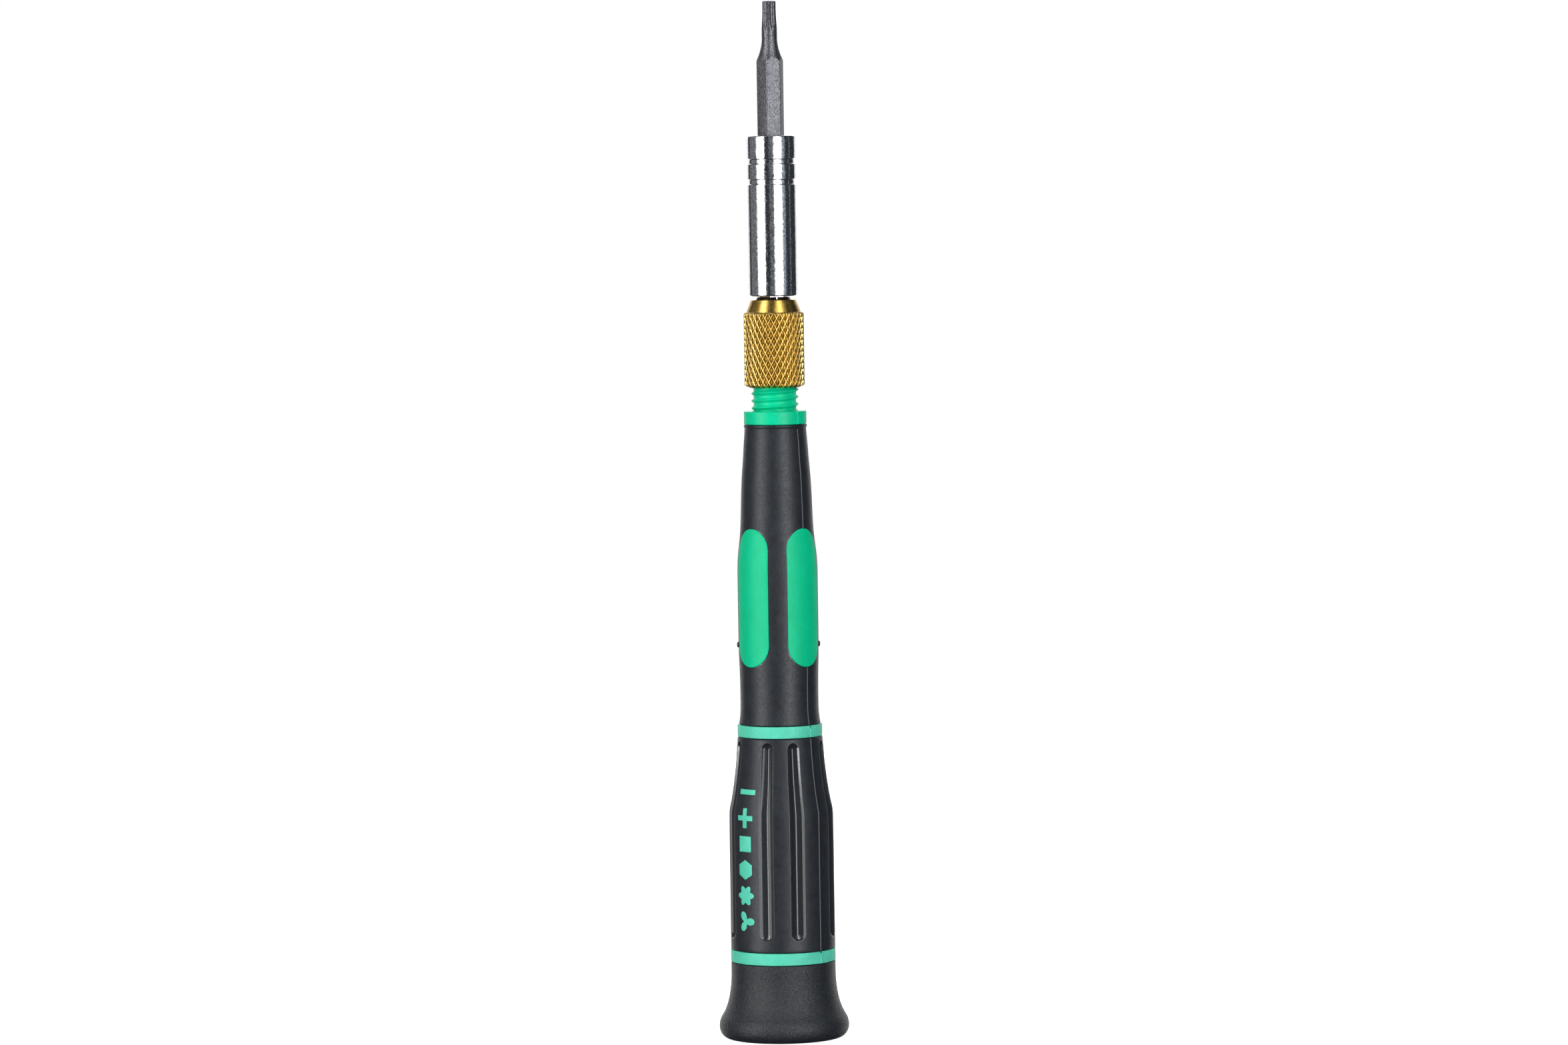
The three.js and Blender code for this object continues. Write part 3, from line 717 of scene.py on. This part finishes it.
def build_pads(material):
    """The four green pads, part of the core's moulding, each with a rounded rim."""
    rings = [(0.985, 1.2), (0.985, 0.1), (0.983, 0.03), (0.974, -0.03), (0.96, -0.06), (0.94, -0.07),
             (0.9, -0.065), (0.7, -0.05), (0.45, -0.05), (0.2, -0.05), (0.0, -0.05)]
    for number, angle in enumerate(PAD_ANGLES, 1):
        pad = loft(inset_rows(upper_radius, pad_capsule(angle), rings))
        make_piece(f"green_pad_{number}", [pad], material, "handle")


def build_core(material):
    """The green core: nose thread, collar, the seats of the rings and the boss inside the cap."""
    bottom, top = span("handle_core")
    boss, low_seat, lower, taper, mid_seat, upper, nose = 5.0, 8.3, 7.2, 5.6, 6.6, 4.3, 3.5
    way, screw_bore = 2.85, 2.7
    outline = rounded([
        (screw_bore, bottom, 0), (boss, bottom, 0.3), (boss, LOW_RING[0], 0),
        (low_seat, LOW_RING[0], 0), (low_seat, LOW_RING[1], 0), (lower, LOW_RING[1], 0),
        (lower, 38, 0), (taper, MID_RING[0], 0), (mid_seat, MID_RING[0], 0),
        (mid_seat, MID_RING[1], 0), (upper, MID_RING[1], 0), (upper, COLLAR[0], 0),
        (COLLAR_RADIUS, COLLAR[0], 0.12), (COLLAR_RADIUS, COLLAR[1], 0.2), (nose, COLLAR[1], 0),
        (nose, top, 0), (way, top, 0), (way, 88, 0), (screw_bore, 16, 0),
    ])
    shells = [turned(outline, ring=True), nose_thread(COLLAR[1] - 0.3, top)]
    make_piece("core_moulding", shells, material, "handle", ["handle_core"], 50)


def build_rings(material):
    """The two bright rings that the core shows between the grips and above the cap."""
    for name, (low, high), radius, inner in (
        ("ring_middle", MID_RING, MID_RING_RADIUS, 6.5), ("ring_lower", LOW_RING, LOW_RING_RADIUS, 8.2),
    ):
        corners = [(inner, low, 0), (radius, low, 0.14), (radius, high, 0.16), (inner, high, 0)]
        shell = turned(rounded(corners), ring=True)
        make_piece(name, [shell], material, "handle")


THREAD_PITCH, THREAD_STEPS = 1.2, 96
THREAD_SECTION = [          # (height from the crest's middle, radius)
    (-0.52, 3.53), (-0.42, 3.545), (-0.32, 3.6), (-0.14, 3.82), (-0.06, 3.91), (0.0, 3.935),
    (0.06, 3.91), (0.14, 3.82), (0.32, 3.6), (0.42, 3.545), (0.52, 3.53),
]
THREAD_ROOT, THREAD_END = 3.57, 3.4     # radius under a nicked crest, and of the tapered top end
THREAD_TAPER = 0.8                      # height of the tapered end
NICK_LEFT, NICK_WIDTH = 0.35, 6         # share of a crest left at a nick, and degrees per full crest


def nose_thread(bottom, top):
    """The right-hand thread on the nose, one helical sheet; the parting line nicks its crests."""
    turns = range(math.floor(bottom / THREAD_PITCH) - 1, math.ceil(top / THREAD_PITCH) + 1)
    once_round = round_angles(THREAD_STEPS)
    angles = once_round + 90
    rise = np.radians(once_round) / (2 * math.pi) * THREAD_PITCH
    nick = np.minimum.reduce([np.abs((angles - p + 180) % 360 - 180) for p in PARTING_ANGLES])
    kept = np.clip(NICK_LEFT + nick / NICK_WIDTH, NICK_LEFT, 1)
    rows = []
    for turn in turns:
        for offset, radius in THREAD_SECTION:
            z = np.clip(turn * THREAD_PITCH + offset + rise, bottom, top - 0.05)
            r = THREAD_ROOT + (radius - THREAD_ROOT) * kept
            taper = np.clip((top - z) / THREAD_TAPER, 0, 1)
            rows.append(row(angles, THREAD_END + (r - THREAD_END) * taper, z))
    return np.concatenate(rows), helix_faces(len(rows), THREAD_STEPS, len(THREAD_SECTION))


def helix_faces(levels, count, per_turn):
    """Faces of a helical sheet: the end of each row joins the row that is one turn higher."""
    faces = []
    for i in range(levels - 1):
        for j in range(count):
            k = (j + 1) % count
            up = i + per_turn if k == 0 else i
            if up + 1 < levels:
                faces.append((i * count + j, up * count + k, (up + 1) * count + k, (i + 1) * count + j))
    return faces


def build_lower_grip(material):
    """The lower overmould: eight panels with a flute each, a foot and a crown."""
    low, high = 16.2, 50.05
    flute_bottom, flute_top = 16.9, 49.75
    groove = [(1.0, 0.0), (0.985, 0.008), (0.965, 0.034), (0.78, 0.31), (0.75, 0.34), (0.45, 0.477),
              (0.2, 0.59), (0.15, 0.61), (0.1, 0.623), (0.05, 0.632), (0.0, 0.635)]
    shells, angles = [], []
    for start in range(0, 360, 45):
        flute = start + FLUTE_TURN if start % 90 == 0 else start + 45 - FLUTE_TURN
        capsule = Capsule(flute, FLUTE_HALF, flute_bottom, flute_top, FLUTE_SKIN, side=44)
        shells += skin_panel(lower_radius, capsule, start, start + 45, low, high, groove)
        angles.append(capsule.edge_angles(start, start + 45))
    angles = np.concatenate(angles)
    foot = [(7.3, LOWER_BOTTOM), (8.6, LOWER_BOTTOM), (8.67, LOWER_BOTTOM + 0.04)]
    foot = [row(angles, r, z) for r, z in foot]
    foot += [on_skin(lower_radius, angles, z) for z in (LOWER_BOTTOM + 0.12, 15.6, low)]
    crown = [on_skin(lower_radius, angles, z) for z in (high, LOWER_TOP - 0.12)]
    crown += [row(angles, r, z) for r, z in [(6.98, LOWER_TOP - 0.03), (6.9, LOWER_TOP), (5.7, LOWER_TOP)]]
    shells += [loft(foot), loft(crown)]
    make_piece("grip_lower", shells, material, "handle", ["lower_grip"])


# ---- Small details of the grips ----

RIDGE_ACROSS = np.array([-0.16, -0.13, 0.04, 0.09, 0.35, 0.8])
RIDGE_OUT = np.array([-0.06, -0.01, 0.075, 0.085, 0.04, -0.04])


def ridge(radius_at, angle, bottom, top, levels, drop=0.0):
    """A mould's parting line: a low step up on one side that fades out on the other."""
    rows = []
    for z in np.linspace(bottom, top, levels):
        angles = angle + np.degrees(RIDGE_ACROSS / radius_at(z))
        rows.append(on_skin(radius_at, angles, z, RIDGE_OUT - drop))
    return loft(rows, wrap=False)


def build_parting_lines(rubber, core, ring):
    """The mould's parting lines on the grips, the collar and the two rings."""
    shells = [ridge(upper_radius, a, UPPER_BOTTOM + 0.1, PAD_BOTTOM, 20) for a in PARTING_ANGLES]
    shells += [ridge(upper_radius, a, PAD_TOP, UPPER_TOP - 0.7, 30) for a in PARTING_ANGLES]
    shells += [ridge(lower_radius, a, LOWER_BOTTOM + 0.1, LOWER_TOP - 0.1, 50) for a in PARTING_ANGLES]
    make_piece("parting_line_grips", shells, rubber, "handle")
    for name, (low, high), radius, material in (
        ("parting_line_collar", COLLAR, COLLAR_RADIUS, core),
        ("parting_line_middle", MID_RING, MID_RING_RADIUS, ring),
        ("parting_line_lower", LOW_RING, LOW_RING_RADIUS, ring),
    ):
        plain = smooth_line([(radius, low), (radius, high)])
        shells = [ridge(plain, a, low + 0.05, high - 0.04, 2) for a in PARTING_ANGLES]
        make_piece(name, shells, material, "handle")


def build_pad_seams(material):
    """The same parting lines where they cross a pad, much fainter."""
    low, high, drop = PAD_BOTTOM + 0.15, PAD_TOP - 0.15, 0.1
    shells = [ridge(upper_radius, a, low, high, 24, drop) for a in PARTING_ANGLES]
    make_piece("parting_line_pads", shells, material, "handle")


def build_ring_notches(material):
    """Rubber that ran down the parting line into the top edge of each ring."""
    wedge = polygon([(-0.2, 0.03), (0.0, -0.42), (0.17, 0.03)], 24)
    shells = []
    for (_, high), radius in ((MID_RING, MID_RING_RADIUS), (LOW_RING, LOW_RING_RADIUS)):
        for parting in PARTING_ANGLES:
            rows = []
            for scale, out in ((1.0, -0.2), (1.0, 0.03), (0.8, 0.06), (0.0, 0.07)):
                angles = parting + np.degrees(wedge[:, 0] * scale / radius)
                rows.append(row(angles, radius + out, high - 0.05 + wedge[:, 1] * scale))
            shells.append(loft(rows))
    make_piece("parting_notches", shells, material, "handle")


def build_gate_nubs(material):
    """The trimmed runners' stubs, one on each side of the upper grip."""
    middle, half_width, half_height = 65.7, 0.42, 0.48
    spin = np.radians(np.arange(20) * 18)
    for number, angle in enumerate((88, 272), 1):
        rings = []
        for scale, out in ((1.0, -0.1), (0.97, 0.08), (0.8, 0.2), (0.5, 0.26), (0.0, 0.27)):
            across = half_width * scale * np.cos(spin)
            z = middle + half_height * scale * np.sin(spin)
            angles = angle + np.degrees(across / PAD_SKIN)
            rings.append(on_skin(upper_radius, angles, z, out))
        make_piece(f"gate_stub_{number}", [loft(rings)], material, "handle")


def polygon(corners, count=96):
    """Points spread evenly along a closed outline, corners included."""
    corners = np.array(corners, float)
    after = np.roll(corners, -1, axis=0)
    length = np.linalg.norm(after - corners, axis=1)
    points = []
    for start, end, share in zip(corners, after, length / length.sum()):
        steps = max(2, round(count * share))
        points += [start + (end - start) * k / steps for k in range(steps)]
    return np.array(points)


def spokes(count, radius, waist):
    """A symmetric star-like outline whose distance from its middle goes in and out."""
    a = np.radians(round_angles(96))
    r = waist + (radius - waist) * (0.5 + 0.5 * np.cos(count * a)) ** 0.8
    return np.stack([r * np.cos(a), r * np.sin(a)], axis=1)


def rectangle(half_width, half_height):
    """The corners of an upright rectangle, counter-clockwise from the upper right."""
    u, v = half_width, half_height
    return [(u, v), (-u, v), (-u, -v), (u, -v)]


def screw_drive_shapes():
    """Plain signs for the kinds of bit: slot, cross, square, hexagon, six lobes and three wings."""
    arm, long = 0.42, 1.65
    cross = [(arm, long), (-arm, long), (-arm, arm), (-long, arm), (-long, -arm), (-arm, -arm),
             (-arm, -long), (arm, -long), (arm, -arm), (long, -arm), (long, arm), (arm, arm)]
    turns = [math.radians(a) for a in range(30, 390, 60)]
    hexagon = [(long * math.cos(t), long * math.sin(t)) for t in turns]
    return [
        polygon(rectangle(1.7, arm)), polygon(cross), polygon(rectangle(1.3, 1.3)), polygon(hexagon),
        spokes(6, 1.75, 1.15), spokes(3, 1.8, 0.45),
    ]


def build_signs(material):
    """A row of green screw-drive signs let into one land of the lower grip."""
    shells = []
    top, step, turn = 41.6, 4.3, -44.5
    rings = ((1.0, -0.3), (1.0, 0.03), (0.96, 0.06), (0.7, 0.06), (0.4, 0.06), (0.0, 0.06))
    for number, outline in enumerate(screw_drive_shapes()):
        middle = top - step * number
        rows = []
        for scale, out in rings:
            z = middle + outline[:, 1] * scale
            angles = turn + np.degrees(outline[:, 0] * scale / lower_radius(z))
            rows.append(on_skin(lower_radius, angles, z, out))
        shells.append(loft(rows))
    make_piece("screw_drive_signs", shells, material, "handle")


# ---- Swivel cap ----

def build_cap(material):
    """The flared cap: rounded rim, a recess for the core's boss and one for the screw's head."""
    bottom, top = span("swivel_cap")
    rim, rim_height, rest, shoulder = 10.82, 2.0, 9.2, 8.71
    recess, screw_hole, screw_room, disc_seat = 5.3, 2.15, 4.6, 5.6
    web_top, web_bottom, disc_top = 8, 4.95, 1.7
    corner = [(rest + (rim - rest) * math.sin(t), rim_height * (1 - math.cos(t)))
              for t in np.linspace(0, math.pi / 2, 13)]
    flare = bend((rim, rim_height), (rim, 2.9), (10.35, 3.7), 8)[1:]
    flare += bend((10.35, 3.7), (8.85, 6.0), (shoulder, 10.6), 20)[1:]
    outline = [(disc_seat, bottom + 0.15), (disc_seat + 0.15, bottom), *corner, *flare]
    outline += rounded([
        (shoulder, 11.5, 0), (shoulder, top, 0.18), (recess, top, 0.2), (recess, web_top, 0),
        (screw_hole, web_top, 0), (screw_hole, web_bottom, 0), (screw_room, web_bottom, 0),
        (screw_room, disc_top, 0), (disc_seat, disc_top, 0),
    ])
    shell = turned(outline, ring=True)
    make_piece("cap_flared", [shell], material, "cap", ["swivel_cap"])


def build_end_disc(material):
    """The disc that closes the cap's end, with a shallow dish in its face."""
    bottom, top = span("cap_end_disc")
    depth, radius = 0.6, 5.55
    dish = bend((0, depth), (3.4, depth), (5.1, bottom), 16)
    edge = [(5.2, bottom, 0), (radius, bottom, 0.12), (radius, top, 0.1), (0, top, 0)]
    outline = dish + rounded(edge)
    make_piece("cap_dished_disc", [turned(outline)], material, "cap", ["cap_end_disc"])


# ---- Stage ----

def build_floor():
    """Plain white paper under the tool."""
    paper = bpy.data.materials.new("white_paper")
    paper.use_nodes = True
    shader = paper.node_tree.nodes["Principled BSDF"]
    shader.inputs["Base Color"].default_value = (0.85, 0.85, 0.85, 1)
    shader.inputs["Roughness"].default_value = 0.9
    shader.inputs["Emission Color"].default_value = (1, 1, 1, 1)
    shader.inputs["Emission Strength"].default_value = 0.9
    bm = bmesh.new()
    bmesh.ops.create_circle(bm, cap_ends=True, segments=96, radius=0.5)
    floor = mesh_object("floor", bm, [paper])
    floor.visible_diffuse = False
    floor.visible_glossy = False
    floor.visible_shadow = False


def build_room():
    """A dim room round the studio, so that polished metal has something dark to reflect."""
    dim = bpy.data.materials.new("dim_room")
    dim.use_nodes = True
    nodes, links = dim.node_tree.nodes, dim.node_tree.links
    nodes.remove(nodes["Principled BSDF"])
    glow = nodes.new("ShaderNodeEmission")
    glow.inputs["Color"].default_value = (0.8, 0.9, 1.0, 1)
    glow.inputs["Strength"].default_value = 0.05
    links.new(glow.outputs["Emission"], nodes["Material Output"].inputs["Surface"])
    bm = bmesh.new()
    bmesh.ops.create_uvsphere(bm, u_segments=48, v_segments=24, radius=4)
    room = mesh_object("room", bm, [dim])
    room.visible_camera = False


# Lights, floor and camera are placed in metres. The softboxes reach below the tool, or its lowest
# parts would have nothing to reflect.
LIGHT_LOW = -0.3
SOFTBOXES = (    # name, azimuth, distance, width, highest point, radiance and any tint
    ("softbox_left", -54, 0.8, 0.56, 1.1, 2.7),
    ("softbox_left_core", -54, 0.79, 0.08, 1.0, 10.8),
    ("softbox_right", 30.5, 0.8, 0.55, 1.1, 2.7, (0.97, 0.985, 1)),
    ("softbox_right_core", 32, 0.79, 0.08, 1.0, 10.8),
    ("spill_right", 58, 0.9, 0.25, 1.0, 0.4, (0.75, 0.87, 1)),
    ("spill_front", -1, 1.4, 0.5, 1.2, 0.13),
    ("spill_left", -97, 1.0, 0.9, 1.0, 0.16),
    ("edge_right", 94, 1.0, 0.03, 1.0, 0.6),
    ("back_light", 180, 0.9, 0.4, 1.0, 2.5),
    ("rim_left", -151, 0.9, 0.4, 1.0, 1.0),
    ("rim_right", 151, 0.9, 0.4, 1.0, 1.0),
)


def soft_light(name, azimuth, distance, width, low, high, radiance, color=(1, 1, 1)):
    """An upright softbox that faces the tool; azimuth is counted as the other angles are."""
    light = bpy.data.lights.new(name, "AREA")
    light.shape = "RECTANGLE"
    light.size, light.size_y = width, high - low
    light.energy = radiance * math.pi * width * (high - low)
    light.color = color
    lamp = place(name, light)
    a = math.radians(azimuth)
    lamp.location = (distance * math.sin(a), -distance * math.cos(a), (low + high) / 2)
    lamp.rotation_euler = (math.pi / 2, 0, a)
    lamp.visible_camera = False


def overhead_light(height, width, radiance):
    """A square softbox straight above the tool."""
    light = bpy.data.lights.new("overhead", "AREA")
    light.size = width
    light.energy = radiance * math.pi * width * width
    lamp = place("overhead", light)
    lamp.location = (0, 0, height)
    lamp.visible_camera = False


def build_lights():
    """Two softboxes with brighter middles, their spill, and dimmer lights behind and overhead."""
    for name, azimuth, distance, width, high, radiance, *color in SOFTBOXES:
        soft_light(name, azimuth, distance, width, LIGHT_LOW, high, radiance, *color)
    overhead_light(1.1, 0.8, 0.4)
    world = bpy.data.worlds.new("white")
    world.use_nodes = True
    world.node_tree.nodes["Background"].inputs["Color"].default_value = (1, 1, 1, 1)
    bpy.context.scene.world = world


def build_camera():
    """The photograph's viewpoint: a long lens a little above the tool's middle."""
    low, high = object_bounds()
    middle = Vector((0.0012, 0, 0.4986 * high.z))
    distance, elevation, roll = 1.0505, math.radians(3.3), math.radians(-0.87)
    camera = place("camera", bpy.data.cameras.new("camera"))
    camera.data.sensor_width = 36
    camera.data.lens = 145.2
    camera.data.clip_end = 20
    offset = Vector((0, -math.cos(elevation), math.sin(elevation))) * distance
    aim = (-offset).to_track_quat("-Z", "Y").to_matrix().to_4x4()
    camera.matrix_world = Matrix.Translation(middle + offset) @ aim @ Matrix.Rotation(roll, 4, "Z")
    bpy.context.scene.camera = camera


# ---- Assembly ----

def dress(node, material):
    """Gives a CAD node that stays as it is a finished material."""
    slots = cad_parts[node].data.materials
    slots.clear()
    slots.append(material)


def build_tool():
    """Every piece of the screwdriver, with its finish."""
    pads = green_plastic("green_pads", (0.0, 0.41, 0.192), (0.0, 0.445, 0.214), 0.42, 0.02)
    core = green_plastic("green_core", (0.0, 0.43, 0.208), (0.0, 0.48, 0.24), 0.34, 0.012)
    rings = green_plastic("green_rings", (0.068, 0.46, 0.32), (0.09, 0.52, 0.37), 0.4, 0.03)
    rubber, smooth, cap = black_rubber(), smooth_rubber(), cap_plastic()
    gold = brass("turned_brass", 0.24)
    steel = plain_metal("bright_steel", (0.55, 0.56, 0.58), 0.25)
    zinc = plain_metal("zinc_steel", (0.5, 0.51, 0.53), 0.3)
    build_bit(bit_steel())
    build_sleeve(chrome())
    # The knurl's lines get brass lightened as painted highlight, and its hollows brass darkened as painted
    # shade.
    build_nut([gold, brass("knurled_lines_painted_highlight", 0.28, (0.6, 0.4, 0.11), (0.76, 0.53, 0.17)),
               brass("knurled_hollows_painted_shade", 0.32, (0.17, 0.09, 0.01), (0.34, 0.2, 0.028))])
    # The collet's dark brownish metal is darkened further as painted shade, for the nose that sits in the
    # sleeve's shadow.
    build_collet(plain_metal("dark_steel", (0.1, 0.075, 0.045), 0.35))
    build_core(core)
    build_rings(rings)
    build_pads(pads)
    build_upper_grip([rubber, smooth])
    build_lower_grip([rubber, smooth])
    build_parting_lines(smooth, core, rings)
    build_pad_seams(pads)
    build_ring_notches(rubber)
    build_gate_nubs(rubber)
    build_signs(rings)
    build_cap(cap)
    build_end_disc(cap)
    dress("holder_shank", steel)
    dress("holder_magnet", plain_metal("magnet_nickel", (0.6, 0.6, 0.61), 0.2))
    dress("nose_bush", gold)
    dress("pivot_insert", gold)
    dress("pivot_screw", zinc)
    dress("screw_washer", zinc)
    dress("thrust_washer", nylon())


bpy.context.scene.view_settings.view_transform = "Standard"
build_camera()
build_lights()
build_floor()
build_room()
build_tool()
